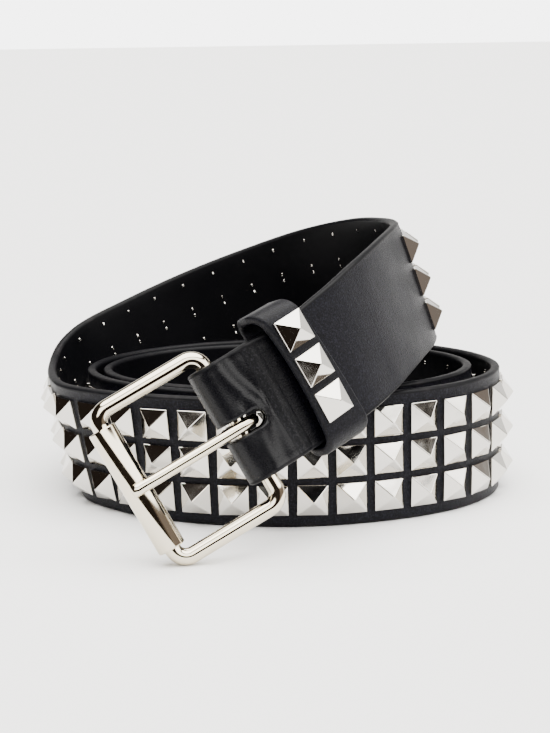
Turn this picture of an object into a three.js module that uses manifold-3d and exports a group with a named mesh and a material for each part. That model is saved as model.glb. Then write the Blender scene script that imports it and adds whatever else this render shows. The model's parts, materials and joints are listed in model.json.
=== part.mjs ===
// A studded leather belt with a roller buckle, lying in a loose coil on its edge.
// Millimetres, +Z up. X runs along the coil and -Y is the side with the buckle.
import * as THREE from "three";
import { mergeVertices } from "three/addons/utils/BufferGeometryUtils.js";
import Module from "manifold-3d";

// Strap
const strapWidth = 38;
const strapThickness = 2.8;
const tipLength = 22;
const tipBluntness = 0.24;
const tipHoleDiameter = 4.4;
const tipHoleSpacing = 25.4;
const tipHoleFromEnd = 58;
const tipHoleCount = 4;

// Studs
const studRows = 3;
const studSize = 8.9;
const studHeight = 4.2;
const studRim = 0.8;
const rowSpacing = 10.85;
const columnSpacing = 11.1;
const studsStartAt = 102.8;
const plainTipEnd = 158;

// Coil
const coilLength = 136;
const coilDepth = 105;
const ovalPower = 1.92;
const layerClearance = 0.6;
const tipBearing = 1098;

// Buckle and prong
const wireDiameter = 4.6;
const frameLength = 36.6;
const frameWidth = 50;
const frameCornerRadius = 4;
const rollerDiameter = 7.8;
const rollerClearance = 0.35;
const prongDiameter = 3.2;
const prongPastRoller = 1.6;
const prongClearance = 0.3;
const curlSweep = 5.2;
const slotWidth = 5;
const slotReach = 7.4;

// Fold and keeper
const foldWidth = 34;
const foldLength = 14;
const foldWidened = 60;
const foldEnd = 44;
const foldClearance = 0.45;
const layerGap = 0.4;
const keeperWidth = 11.6;
const keeperThickness = 2.4;
const keeperBevel = 0.5;
const keeperFrom = 15.1;
const keeperClearance = 0.5;
const keeperTopRoom = 1.8;
const keeperRoom = 2.6;
const keeperSlant = 0.4;
const keeperSkew = 0.045;
const keeperStudShift = 4;
const seatGap = 0.3;

// How the buckle end lies: its bar's place, as shares of half the coil's length and depth, and the way that
// the strap leaves it
const barRight = -0.1897;
const barBack = -1.4667;
const buckleYaw = 15;
const buckleRise = 27.4;
const buckleLean = -14;
const frameDrop = 1.8;

// Fineness of the faceted surfaces
const strapStep = 6;
const bendSteps = 10;
const bulgeSteps = 6;
const wireSides = 10;
const cornerSteps = 4;
const curlSteps = 12;
const rollerSides = 16;
const holeSides = 10;
const tipSteps = [0, 0.3, 0.55, 0.75, 0.88, 0.96, 1];

// The raised turn from the keeper to the left-hand bend. right and back are shares of half the coil's
// length and depth from its centre, up is the middle of the strap as a share of its width, and lean
// tips the strap's top edge outwards, in degrees.
const raisedTurn = [
  { right: 0.13, back: -1.31, up: 1.275, lean: -16 },
  { right: 0.256, back: -1.17, up: 1.41, lean: -17 },
  { right: 0.35, back: -0.99, up: 1.51, lean: -17 },
  { right: 0.424, back: -0.787, up: 1.58, lean: -17 },
  { right: 0.496, back: -0.525, up: 1.635, lean: -18 },
  { right: 0.563, back: -0.202, up: 1.666, lean: -19 },
  { right: 0.585, back: 0.12, up: 1.658, lean: -18 },
  { right: 0.535, back: 0.454, up: 1.63, lean: -14 },
  { right: 0.391, back: 0.766, up: 1.58, lean: -9 },
  { right: 0.162, back: 0.989, up: 1.463, lean: -4 },
  { right: -0.11, back: 1.084, up: 1.29, lean: 0 },
  { right: -0.4, back: 1.056, up: 1.1, lean: 4 },
  { right: -0.68, back: 0.888, up: 0.905, lean: 8 },
  { right: -0.91, back: 0.589, up: 0.735, lean: 12 },
  { right: -1, back: 0.25, up: 0.56, lean: 14 },
];

// How far the coil departs from an even spiral: bearing runs on from turn to turn in degrees from the front,
// inset is in layers towards the middle, and lean tips the top edge outwards.
const coilShape = [
  { bearing: 285, inset: -0.1, lean: 13 },
  { bearing: 330, inset: 0, lean: 5 },
  { bearing: 375, inset: 0, lean: 0 },
  { bearing: 422, inset: -0.22, lean: 0 },
  { bearing: 465, inset: 0.05, lean: 0 },
  { bearing: 600, inset: 0, lean: 0 },
  { bearing: 645, inset: 0.35, lean: 6 },
  { bearing: 690, inset: 0.2, lean: 3 },
  { bearing: 790, inset: 0.06, lean: 0 },
  { bearing: 850, inset: 0.1, lean: 0 },
  { bearing: 910, inset: 0.05, lean: 0 },
  { bearing: 960, inset: -0.12, lean: 3 },
  { bearing: 1010, inset: -0.12, lean: 4 },
  { bearing: 1098, inset: -0.1, lean: 0 },
];
const coilStart = 285;
const coilStationStep = 15;

const radians = THREE.MathUtils.degToRad;
const upwards = new THREE.Vector3(0, 0, 1);
const weldDistance = 1e-4;
const layerPitch = strapThickness + studHeight + layerClearance;

function vector(x, y, z) {
  return new THREE.Vector3(x, y, z);
}

function easeBetween(value, low, high) {
  return THREE.MathUtils.smoothstep(value, low, high);
}

function readTable(rows, key, column, value) {
  if (value <= rows[0][key]) return rows[0][column];
  for (let i = 1; i < rows.length; i += 1) {
    const before = rows[i - 1];
    const after = rows[i];
    if (value <= after[key]) {
      const share = easeBetween(value, before[key], after[key]);
      return THREE.MathUtils.lerp(before[column], after[column], share);
    }
  }
  return rows[rows.length - 1][column];
}

// The directions along, across and out of a strap that heads along a given line.
function strapFrame(along, lean) {
  const across = upwards.clone().addScaledVector(along, -upwards.dot(along)).normalize();
  across.applyAxisAngle(along, radians(lean));
  const out = vector(0, 0, 0).crossVectors(along, across);
  return { along, across, out };
}

// The coil is an oval spiral whose layers lie one strap and one stud apart.
function coilStation(bearing) {
  const turns = (bearing - 270) / 360;
  const inset = (turns + readTable(coilShape, "bearing", "inset", bearing)) * layerPitch;
  const direction = radians(bearing);
  const sideways = Math.abs(Math.sin(direction)) / (coilLength / 2 - inset);
  const forwards = Math.abs(Math.cos(direction)) / (coilDepth / 2 - inset);
  const radius = (sideways ** ovalPower + forwards ** ovalPower) ** (-1 / ovalPower);
  const lean = readTable(coilShape, "bearing", "lean", bearing);
  const tilt = radians(Math.abs(lean));
  const height = strapWidth / 2 * Math.cos(tilt) + strapThickness / 2 * Math.sin(tilt);
  const point = vector(radius * Math.sin(direction), -radius * Math.cos(direction), height);
  return { point, lean };
}

const barOffset = strapThickness / 2 + layerGap / 2;
const barToRoller = frameLength - wireDiameter;
const halfSpan = (frameWidth - wireDiameter) / 2;
const wireRadius = wireDiameter / 2;

function buckleDirection() {
  const yaw = radians(buckleYaw);
  const rise = radians(buckleRise);
  const level = Math.cos(rise);
  return vector(level * Math.cos(yaw), level * Math.sin(yaw), Math.sin(rise));
}

// The back bar stands as high as it must for the frame's lowest corner to touch the floor.
const buckleFrame = strapFrame(buckleDirection(), buckleLean);
const cornerReach = frameCornerRadius * Math.hypot(buckleFrame.along.z, buckleFrame.across.z);
const barHeight = (barToRoller - frameCornerRadius) * buckleFrame.along.z
  + (halfSpan - frameCornerRadius) * buckleFrame.across.z
  + cornerReach + wireRadius;
const barCentre = vector(barRight * coilLength / 2, barBack * coilDepth / 2, barHeight);

// The whole middle line of the strap's main layer, from above the bar to the tip.
function strapStations() {
  const { along, across, out } = buckleFrame;
  const start = barCentre.clone().addScaledVector(out, barOffset).addScaledVector(across, frameDrop);
  const stations = [
    { point: start, lean: buckleLean },
    { point: start.clone().addScaledVector(along, foldLength), lean: buckleLean },
  ];
  for (const row of raisedTurn) {
    const point = vector(row.right * coilLength / 2, row.back * coilDepth / 2, row.up * strapWidth);
    stations.push({ point, lean: row.lean });
  }
  for (let bearing = coilStart; bearing < tipBearing; bearing += coilStationStep) {
    stations.push(coilStation(bearing));
  }
  stations.push(coilStation(tipBearing));
  return stations;
}

const stations = strapStations();
const middleLine = new THREE.CatmullRomCurve3(stations.map((station) => station.point), false, "centripetal");
middleLine.arcLengthDivisions = 3000;
const leans = stations.map((station) => vector(station.lean, 0, 0));
const leanLine = new THREE.CatmullRomCurve3(leans, false, "catmullrom");
const strapLength = middleLine.getLength();

// Where the strap is at a length from the bar. Behind the bar it runs on straight.
function strapAt(length) {
  const share = THREE.MathUtils.clamp(length / strapLength, 0, 1);
  const t = middleLine.getUtoTmapping(share);
  const frame = strapFrame(middleLine.getTangent(t), leanLine.getPoint(t).x);
  const point = middleLine.getPoint(t);
  point.addScaledVector(frame.along, length - share * strapLength);
  return { point, ...frame };
}

// A point beside the strap: so far along it, so far across from its middle and so far out.
function beside(length, across, out) {
  const place = strapAt(length);
  return place.point.clone().addScaledVector(place.across, across).addScaledVector(place.out, out);
}

// Joins rings of points into one closed body: around each ring, from ring to ring, and over both ends.
// skip leaves out the face between two neighbouring points of one ring and the next.
function loftRings(rings, closed, skip = () => false) {
  const count = rings[0].length;
  const triangles = [];
  const quad = (a, b, c, d) => triangles.push(a, b, c, a, c, d);
  const joints = closed ? rings.length : rings.length - 1;
  for (let i = 0; i < joints; i += 1) {
    const ring = rings[i];
    const next = rings[(i + 1) % rings.length];
    for (let j = 0; j < count; j += 1) {
      const k = (j + 1) % count;
      if (!skip(i, j)) quad(ring[j], ring[k], next[k], next[j]);
    }
  }
  if (!closed) {
    const last = rings[rings.length - 1];
    for (let j = 1; j < count - 1; j += 1) {
      triangles.push(rings[0][0], rings[0][j + 1], rings[0][j]);
      triangles.push(last[0], last[j], last[j + 1]);
    }
  }
  return triangles;
}

function geometryOf(triangles) {
  const geometry = new THREE.BufferGeometry();
  const numbers = triangles.flatMap((p) => [p.x, p.y, p.z]);
  geometry.setAttribute("position", new THREE.Float32BufferAttribute(numbers, 3));
  return pointOutwards(mergeVertices(geometry, weldDistance));
}

// Turns every face round if the body as a whole is inside out.
function pointOutwards(geometry) {
  const index = geometry.getIndex().array;
  const corner = (i) => vector(0, 0, 0).fromBufferAttribute(geometry.getAttribute("position"), index[i]);
  let volume = 0;
  for (let i = 0; i < index.length; i += 3) {
    volume += corner(i).dot(corner(i + 1).cross(corner(i + 2)));
  }
  if (volume < 0) {
    for (let i = 0; i < index.length; i += 3) {
      [index[i + 1], index[i + 2]] = [index[i + 2], index[i + 1]];
    }
  }
  return geometry;
}

const wasm = await Module();
wasm.setup();

function solidOf(geometry) {
  const merged = geometry.clone();
  merged.deleteAttribute("normal");
  merged.deleteAttribute("uv");
  const welded = mergeVertices(merged, weldDistance);
  return new wasm.Manifold(new wasm.Mesh({
    numProp: 3,
    vertProperties: Float32Array.from(welded.getAttribute("position").array),
    triVerts: Uint32Array.from(welded.getIndex().array),
  }));
}

function geometryOfSolid(solid) {
  const mesh = solid.getMesh();
  const geometry = new THREE.BufferGeometry();
  geometry.setAttribute("position", new THREE.Float32BufferAttribute(mesh.vertProperties, 3));
  geometry.setIndex(new THREE.Uint32BufferAttribute(mesh.triVerts, 1));
  return geometry;
}

// Across the strap: the edges of the three rows of studs between the strap's own edges.
function acrossLines() {
  const lines = [-strapWidth / 2];
  for (let row = 0; row < studRows; row += 1) {
    const middle = (row - (studRows - 1) / 2) * rowSpacing;
    lines.push(middle - studSize / 2, middle + studSize / 2);
  }
  lines.push(strapWidth / 2);
  return lines;
}

// The fold in the plane of its bend, as distances along from the bar and out from the main layer.
function foldProfile() {
  const middle = -barOffset;
  const near = barOffset;
  const radius = wireRadius + foldClearance + strapThickness / 2;
  const profile = [];
  for (let along = foldEnd; along > foldLength; along -= strapStep) {
    profile.push({ along, out: middle - near });
  }
  const bulge = (along) => near + (radius - near) * (1 - easeBetween(along, 0, foldLength));
  for (let i = bulgeSteps; i > 0; i -= 1) {
    const along = foldLength * i / bulgeSteps;
    profile.push({ along, out: middle - bulge(along) });
  }
  for (let i = 0; i <= bendSteps; i += 1) {
    const angle = Math.PI * i / bendSteps;
    profile.push({ along: -radius * Math.sin(angle), out: middle - radius * Math.cos(angle) });
  }
  for (let i = 1; i < bulgeSteps; i += 1) {
    const along = foldLength * i / bulgeSteps;
    profile.push({ along, out: middle + bulge(along) });
  }
  return profile;
}

// One cross-section of the leather, as a ring of points: the outer face, then the inner face's two edges.
function strapRing(point, across, out, widthShare) {
  const ring = [];
  const lines = acrossLines();
  const half = strapThickness / 2;
  for (const line of lines) {
    ring.push(point.clone().addScaledVector(across, line * widthShare).addScaledVector(out, half));
  }
  ring.push(point.clone().addScaledVector(across, strapWidth / 2 * widthShare).addScaledVector(out, -half));
  ring.push(point.clone().addScaledVector(across, -strapWidth / 2 * widthShare).addScaledVector(out, -half));
  return ring;
}

// The strap is narrow in the fold and widens to its full width a little past the keeper.
function foldShare(length) {
  return THREE.MathUtils.lerp(foldWidth / strapWidth, 1, easeBetween(length, foldLength, foldWidened));
}

function foldRings() {
  const profile = foldProfile();
  return profile.map((place, i) => {
    const before = profile[Math.max(i - 1, 0)];
    const after = profile[Math.min(i + 1, profile.length - 1)];
    const frame = strapAt(place.along);
    const a = beside(before.along, 0, before.out);
    const b = beside(after.along, 0, after.out);
    const heading = b.sub(a).normalize();
    const out = vector(0, 0, 0).crossVectors(heading, frame.across).normalize();
    const point = beside(place.along, 0, place.out);
    return strapRing(point, frame.across, out, foldShare(place.along));
  });
}

function studColumns() {
  const end = strapLength - plainTipEnd;
  const columns = [];
  for (let middle = studsStartAt; middle < end; middle += columnSpacing) {
    columns.push(middle);
  }
  return columns;
}

function plainLengths(from, to) {
  const count = Math.max(1, Math.round((to - from) / strapStep));
  const lengths = [];
  for (let i = 1; i < count; i += 1) {
    lengths.push(from + (to - from) * i / count);
  }
  return lengths;
}

function tipShare(length) {
  const past = THREE.MathUtils.clamp((length - (strapLength - tipLength)) / tipLength, 0, 1);
  return Math.sqrt(1 - (1 - tipBluntness ** 2) * past * past);
}

// The strap's sections past the fold, with the two sides of each column of studs among them.
function mainLengths(columns) {
  const half = studSize / 2;
  const tipStart = strapLength - tipLength;
  const studded = columns.flatMap((middle) => [
    { length: middle - half, studs: true },
    { length: middle + half },
  ]);
  const firstStud = studded[0].length;
  const lastStud = studded[studded.length - 1].length;
  const plain = (from, to) => plainLengths(from, to).map((length) => ({ length }));
  const tip = tipSteps.map((share) => ({ length: tipStart + share * tipLength }));
  return [
    { length: foldLength },
    ...plain(foldLength, firstStud),
    ...studded,
    ...plain(lastStud, tipStart),
    ...tip,
  ];
}

// A pyramid on a low rim, standing on four corners of the leather.
function studTriangles(corners, out) {
  const triangles = [];
  const raised = corners.map((corner) => corner.clone().addScaledVector(out, studRim));
  const apex = vector(0, 0, 0);
  corners.forEach((corner) => apex.addScaledVector(corner, 1 / corners.length));
  apex.addScaledVector(out, studHeight);
  for (let i = 0; i < corners.length; i += 1) {
    const k = (i + 1) % corners.length;
    triangles.push(corners[i], corners[k], raised[k], corners[i], raised[k], raised[i]);
    triangles.push(raised[i], raised[k], apex);
  }
  return triangles;
}

function studdedStrapGeometry() {
  const columns = studColumns();
  const folded = foldRings();
  const lengths = mainLengths(columns);
  const main = lengths.map(({ length }) => {
    const place = strapAt(length);
    return strapRing(place.point, place.across, place.out, foldShare(length) * tipShare(length));
  });
  const rings = [...folded, ...main];
  const underStud = (i, j) => {
    const section = lengths[i - folded.length];
    return Boolean(section && section.studs) && j % 2 === 1 && j < 2 * studRows;
  };
  const triangles = loftRings(rings, false, underStud);
  lengths.forEach((section, i) => {
    if (!section.studs) return;
    const ring = main[i];
    const next = main[i + 1];
    const { out } = strapAt(section.length + studSize / 2);
    for (let row = 0; row < studRows; row += 1) {
      const j = 2 * row + 1;
      triangles.push(...studTriangles([ring[j], ring[j + 1], next[j + 1], next[j]], out));
    }
  });
  return geometryOf(triangles);
}

// Places a shape drawn in the buckle's own directions: x along the strap, y across it and z out of it.
function inBucklePlace(geometry) {
  const { along, across, out } = buckleFrame;
  const matrix = new THREE.Matrix4().makeBasis(along, across, out).setPosition(barCentre);
  return geometry.applyMatrix4(matrix);
}

function slotCutter() {
  const shape = new THREE.Shape();
  const half = slotWidth / 2;
  const back = -(wireRadius + foldClearance + 2 * strapThickness);
  shape.moveTo(back, -half);
  shape.lineTo(slotReach - half, -half);
  shape.absarc(slotReach - half, 0, half, -Math.PI / 2, Math.PI / 2, false);
  shape.lineTo(back, half);
  const depth = 4 * (wireRadius + strapThickness);
  const geometry = new THREE.ExtrudeGeometry(shape, { depth, bevelEnabled: false, curveSegments: 5 });
  geometry.translate(0, 0, -depth / 2);
  return solidOf(inBucklePlace(geometry));
}

function tipHoleCutter(number) {
  const place = strapAt(strapLength - tipHoleFromEnd - number * tipHoleSpacing);
  const radius = tipHoleDiameter / 2;
  const geometry = new THREE.CylinderGeometry(radius, radius, 3 * strapThickness, holeSides);
  const matrix = new THREE.Matrix4().makeBasis(place.along, place.out, place.across.clone().negate());
  geometry.applyMatrix4(matrix.setPosition(place.point));
  return solidOf(geometry);
}

function strapGeometry() {
  let strap = solidOf(studdedStrapGeometry()).subtract(slotCutter());
  for (let number = 0; number < tipHoleCount; number += 1) {
    strap = strap.subtract(tipHoleCutter(number));
  }
  return geometryOfSolid(strap);
}

// A round wire along a flat line of points, each with the direction that the line has there.
function wireRings(line, radius) {
  return line.map(({ point, heading }) => {
    const ring = [];
    const side = vector(-heading.y, heading.x, 0).normalize();
    for (let i = 0; i < wireSides; i += 1) {
      const angle = 2 * Math.PI * i / wireSides;
      ring.push(point.clone()
        .addScaledVector(side, radius * Math.cos(angle))
        .addScaledVector(upwards, radius * Math.sin(angle)));
    }
    return ring;
  });
}

// The frame's middle line: a rectangle with round corners, with its back bar at x = 0.
function frameGeometry() {
  const line = [];
  const inset = frameCornerRadius;
  const corners = [
    { x: -inset, y: -halfSpan + inset, from: -90 },
    { x: -inset, y: halfSpan - inset, from: 0 },
    { x: -barToRoller + inset, y: halfSpan - inset, from: 90 },
    { x: -barToRoller + inset, y: -halfSpan + inset, from: 180 },
  ];
  for (const corner of corners) {
    for (let i = 0; i <= cornerSteps; i += 1) {
      const angle = radians(corner.from + 90 * i / cornerSteps);
      const point = vector(corner.x + inset * Math.cos(angle), corner.y + inset * Math.sin(angle), 0);
      line.push({ point, heading: vector(-Math.sin(angle), Math.cos(angle), 0) });
    }
  }
  return inBucklePlace(geometryOf(loftRings(wireRings(line, wireRadius), true)));
}

function rollerGeometry() {
  const inner = wireRadius + rollerClearance;
  const outer = rollerDiameter / 2;
  const half = halfSpan - frameCornerRadius - seatGap;
  const profile = [
    new THREE.Vector2(inner, -half),
    new THREE.Vector2(outer, -half),
    new THREE.Vector2(outer, half),
    new THREE.Vector2(inner, half),
    new THREE.Vector2(inner, -half),
  ];
  const geometry = new THREE.LatheGeometry(profile, rollerSides);
  geometry.translate(-barToRoller, 0, 0);
  return inBucklePlace(pointOutwards(mergedPositions(geometry)));
}

function mergedPositions(geometry) {
  geometry.deleteAttribute("normal");
  geometry.deleteAttribute("uv");
  return mergeVertices(geometry, weldDistance);
}

// The prong: a curl round the back bar, then a straight pin that rests on the roller.
function prongGeometry() {
  const radius = prongDiameter / 2;
  const curl = wireRadius + prongClearance + radius;
  const rest = rollerDiameter / 2 + seatGap + radius;
  const tip = -barToRoller - prongPastRoller;
  const slope = Math.atan2(rest - curl, barToRoller);
  const line = [];
  for (let i = 0; i <= curlSteps; i += 1) {
    const angle = Math.PI / 2 - slope - curlSweep * (1 - i / curlSteps);
    const point = vector(curl * Math.cos(angle), curl * Math.sin(angle), 0);
    line.push({ point, heading: vector(-Math.sin(angle), Math.cos(angle), 0) });
  }
  const last = line[line.length - 1];
  const reach = last.point.x - tip;
  for (const share of [0.33, 0.66, 1]) {
    const point = last.point.clone().addScaledVector(last.heading, reach * share);
    line.push({ point, heading: last.heading });
  }
  const geometry = geometryOf(loftRings(wireRings(line, radius), false));
  geometry.rotateX(Math.PI / 2);
  return inBucklePlace(pointOutwards(geometry));
}

// The keeper slants: its front lies further from the buckle than its back, and its foot further than its top.
function keeperLength(length, across, out) {
  return length + keeperSlant * Math.max(out, 0) - keeperSkew * across;
}

// The keeper: a band round both layers of the fold, standing a little off the front one.
function keeperRing(length) {
  const front = strapThickness / 2 + keeperRoom;
  const back = strapThickness * 1.5 + layerGap + keeperClearance;
  const foot = -(strapWidth / 2 * foldShare(keeperFrom + keeperWidth) + keeperClearance);
  const top = strapWidth / 2 + keeperTopRoom;
  const inner = [];
  const outer = [];
  const corners = [
    { across: foot, out: -back },
    { across: top, out: -back },
    { across: top, out: front },
    { across: foot, out: front },
  ];
  const place = (across, out) => beside(keeperLength(length, across, out), across, out);
  for (const corner of corners) {
    inner.push(place(corner.across, corner.out));
    const bevel = keeperThickness * keeperBevel;
    const sideAcross = Math.sign(corner.across);
    const sideOut = Math.sign(corner.out);
    const wide = corner.across + sideAcross * keeperThickness;
    const deep = corner.out + sideOut * keeperThickness;
    const first = place(wide, deep - sideOut * bevel);
    const second = place(wide - sideAcross * bevel, deep);
    outer.push(...(sideAcross * sideOut > 0 ? [second, first].reverse() : [second, first]));
  }
  return { inner, outer };
}

function keeperGeometry() {
  const lengths = [0, 0.5, 1].map((share) => keeperFrom + share * keeperWidth);
  const rings = lengths.map(keeperRing);
  const triangles = [];
  const wall = (name) => {
    const flat = loftRings(rings.map((ring) => ring[name]), false);
    const endCorners = 6 * (rings[0][name].length - 2);
    return flat.slice(0, flat.length - endCorners);
  };
  const outside = wall("outer");
  const inside = wall("inner");
  for (let i = 0; i < inside.length; i += 3) {
    [inside[i + 1], inside[i + 2]] = [inside[i + 2], inside[i + 1]];
  }
  triangles.push(...outside, ...inside);
  const end = (ring, flip) => {
    const count = ring.inner.length;
    for (let i = 0; i < count; i += 1) {
      const next = (i + 1) % count;
      const a = ring.inner[i];
      const b = ring.inner[next];
      const o1 = ring.outer[2 * i];
      const o2 = ring.outer[2 * i + 1];
      const o3 = ring.outer[(2 * next) % ring.outer.length];
      const faces = [[a, o1, o2], [a, o2, o3], [a, o3, b]];
      for (const face of faces) {
        triangles.push(...(flip ? [face[0], face[2], face[1]] : face));
      }
    }
  };
  end(rings[0], true);
  end(rings[rings.length - 1], false);
  return geometryOf(triangles);
}

function keeperStudGeometry(row) {
  const across = (row - (studRows - 1) / 2) * rowSpacing + keeperStudShift;
  const seat = strapThickness / 2 + keeperRoom + keeperThickness + seatGap;
  const half = studSize / 2;
  const place = strapAt(keeperLength(keeperFrom + keeperWidth / 2, across, seat));
  const at = (u, v, out) => place.point.clone()
    .addScaledVector(place.along, u - keeperSkew * v)
    .addScaledVector(place.across, across + v + keeperSkew * u)
    .addScaledVector(place.out, seat + out);
  const corners = [at(-half, -half, 0), at(half, -half, 0), at(half, half, 0), at(-half, half, 0)];
  const triangles = studTriangles(corners, place.out);
  triangles.push(corners[0], corners[2], corners[1], corners[0], corners[3], corners[2]);
  return geometryOf(triangles);
}

const blackLeather = { color: 0x17161b, roughness: 0.45, metalness: 0 };
const polishedNickel = { color: 0xd8d6d0, roughness: 0.2, metalness: 1 };

const belt = new THREE.Group();

function addPiece(name, geometry, finish) {
  const mesh = new THREE.Mesh(geometry, new THREE.MeshStandardMaterial(finish));
  mesh.name = name;
  belt.add(mesh);
}

addPiece("studded_strap", strapGeometry(), blackLeather);
addPiece("buckle_frame", frameGeometry(), polishedNickel);
addPiece("buckle_roller", rollerGeometry(), polishedNickel);
addPiece("prong", prongGeometry(), polishedNickel);
addPiece("keeper", keeperGeometry(), blackLeather);
for (let row = 0; row < studRows; row += 1) {
  addPiece(`keeper_stud_${row + 1}`, keeperStudGeometry(row), polishedNickel);
}

// The belt's reference point is on the floor, under the middle of its box.
const bounds = new THREE.Box3();
for (const mesh of belt.children) {
  mesh.geometry.computeBoundingBox();
  bounds.union(mesh.geometry.boundingBox);
}
const middle = bounds.getCenter(vector(0, 0, 0));
for (const mesh of belt.children) {
  mesh.geometry.translate(-middle.x, -middle.y, -bounds.min.z);
}

export default belt;
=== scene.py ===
import json
import math

import bmesh
import bpy
import numpy as np
from mathutils import Matrix, Vector


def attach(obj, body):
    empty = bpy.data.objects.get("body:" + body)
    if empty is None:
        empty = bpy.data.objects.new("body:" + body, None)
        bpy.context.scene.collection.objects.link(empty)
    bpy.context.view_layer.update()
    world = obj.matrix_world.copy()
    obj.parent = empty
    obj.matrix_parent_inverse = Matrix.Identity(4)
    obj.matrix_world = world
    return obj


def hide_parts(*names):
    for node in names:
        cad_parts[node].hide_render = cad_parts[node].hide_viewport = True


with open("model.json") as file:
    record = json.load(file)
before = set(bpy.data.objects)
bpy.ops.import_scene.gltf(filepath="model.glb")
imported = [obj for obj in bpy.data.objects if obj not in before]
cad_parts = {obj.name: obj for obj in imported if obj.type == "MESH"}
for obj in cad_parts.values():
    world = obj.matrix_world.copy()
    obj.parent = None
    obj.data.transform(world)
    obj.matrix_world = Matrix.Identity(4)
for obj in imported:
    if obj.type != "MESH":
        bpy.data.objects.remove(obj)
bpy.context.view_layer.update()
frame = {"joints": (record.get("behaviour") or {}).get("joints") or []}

# Strap
STRAP_WIDTH = 0.038
STRAP_THICKNESS = 0.0028
EDGE_ROUND = 0.0010
EDGE_CREASE = 0.00012
TIP_LENGTH = 0.022
TIP_BLUNTNESS = 0.24
TIP_HOLE_DIAMETER = 0.0044
TIP_HOLE_SPACING = 0.0254
TIP_HOLE_FROM_END = 0.058
TIP_HOLE_COUNT = 4

# Studs
STUD_ROWS = 3
STUD_SIZE = 0.0089
STUD_HEIGHT = 0.0042
STUD_RIM = 0.0008
STUD_EDGE = 0.00016
STUD_SUNK = 0.0003
ROW_SPACING = 0.01085
COLUMN_SPACING = 0.0111
STUDS_START_AT = 0.1028
PLAIN_TIP_END = 0.158
CLINCH_FROM_MIDDLE = 0.0043

# Coil
COIL_LENGTH = 0.136
COIL_DEPTH = 0.105
OVAL_POWER = 1.92
LAYER_CLEARANCE = 0.0006
LAYER_PITCH = STRAP_THICKNESS + STUD_HEIGHT + LAYER_CLEARANCE
COIL_START = 285
COIL_STATION_STEP = 15
TIP_BEARING = 1098

# Buckle and prong
WIRE_RADIUS = 0.0023
FRAME_LENGTH = 0.0366
FRAME_WIDTH = 0.050
FRAME_CORNER_RADIUS = 0.004
BAR_TO_ROLLER = FRAME_LENGTH - 2 * WIRE_RADIUS
HALF_SPAN = FRAME_WIDTH / 2 - WIRE_RADIUS
ROLLER_RADIUS = 0.0039
ROLLER_CLEARANCE = 0.00035
PRONG_RADIUS = 0.0016
PRONG_PAST_ROLLER = 0.0016
PRONG_CLEARANCE = 0.0003
CURL_SWEEP = 5.2
SLOT_WIDTH = 0.005
SLOT_REACH = 0.0074
SEAT_GAP = 0.0003

# Fold and keeper
FOLD_WIDTH = 0.034
FOLD_LENGTH = 0.014
FOLD_WIDENED = 0.060
FOLD_END = 0.044
FOLD_END_TAPER = 0.0022
FOLD_BACK_RINGS = 20
FOLD_FRONT_RINGS = 58
FOLD_CLEARANCE = 0.00045
LAYER_GAP = 0.0004
KEEPER_WIDTH = 0.0116
KEEPER_THICKNESS = 0.0022
KEEPER_FROM = 0.0151
KEEPER_CLEARANCE = 0.0006
KEEPER_TOP_ROOM = 0.0018
KEEPER_ROOM = 0.0026
KEEPER_SLANT = 0.4
KEEPER_SKEW = 0.045
KEEPER_BOW = 0.0007
KEEPER_EDGE_BOW = 0.0007
KEEPER_STUD_SHIFT = 0.0036
KEEPER_STUD_ALONG = -0.0007

# How the buckle end lies: the bar's place in shares of half the coil's length and depth, then degrees
BAR_RIGHT = -0.1897
BAR_BACK = -1.4667
BUCKLE_YAW = 15
BUCKLE_RISE = 27.4
BUCKLE_LEAN = -14
FRAME_DROP = 0.0018
BAR_OFFSET = STRAP_THICKNESS / 2 + LAYER_GAP / 2

# The raised turn: shares of half the coil's length and depth, of the strap's width, and the lean in degrees
RAISED_TURN = [
    {"right": 0.13, "back": -1.31, "up": 1.275, "lean": -16},
    {"right": 0.256, "back": -1.17, "up": 1.41, "lean": -17},
    {"right": 0.35, "back": -0.99, "up": 1.51, "lean": -17},
    {"right": 0.424, "back": -0.787, "up": 1.58, "lean": -17},
    {"right": 0.496, "back": -0.525, "up": 1.635, "lean": -18},
    {"right": 0.563, "back": -0.202, "up": 1.666, "lean": -19},
    {"right": 0.585, "back": 0.12, "up": 1.658, "lean": -18},
    {"right": 0.535, "back": 0.454, "up": 1.63, "lean": -14},
    {"right": 0.391, "back": 0.766, "up": 1.58, "lean": -9},
    {"right": 0.162, "back": 0.989, "up": 1.463, "lean": -4},
    {"right": -0.11, "back": 1.084, "up": 1.29, "lean": 0},
    {"right": -0.4, "back": 1.056, "up": 1.1, "lean": 4},
    {"right": -0.68, "back": 0.888, "up": 0.905, "lean": 8},
    {"right": -0.91, "back": 0.589, "up": 0.735, "lean": 12},
    {"right": -1, "back": 0.25, "up": 0.56, "lean": 14},
]

# The coil's departures from an even spiral: bearing in degrees, inset in layers, lean in degrees
COIL_SHAPE = [
    {"bearing": 285, "inset": -0.1, "lean": 13},
    {"bearing": 330, "inset": 0, "lean": 5},
    {"bearing": 375, "inset": 0, "lean": 0},
    {"bearing": 422, "inset": -0.22, "lean": 0},
    {"bearing": 465, "inset": 0.05, "lean": 0},
    {"bearing": 600, "inset": 0, "lean": 0},
    {"bearing": 645, "inset": 0.35, "lean": 6},
    {"bearing": 690, "inset": 0.2, "lean": 3},
    {"bearing": 790, "inset": 0.06, "lean": 0},
    {"bearing": 850, "inset": 0.1, "lean": 0},
    {"bearing": 910, "inset": 0.05, "lean": 0},
    {"bearing": 960, "inset": -0.12, "lean": 3},
    {"bearing": 1010, "inset": -0.12, "lean": 4},
    {"bearing": 1098, "inset": -0.1, "lean": 0},
]

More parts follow.
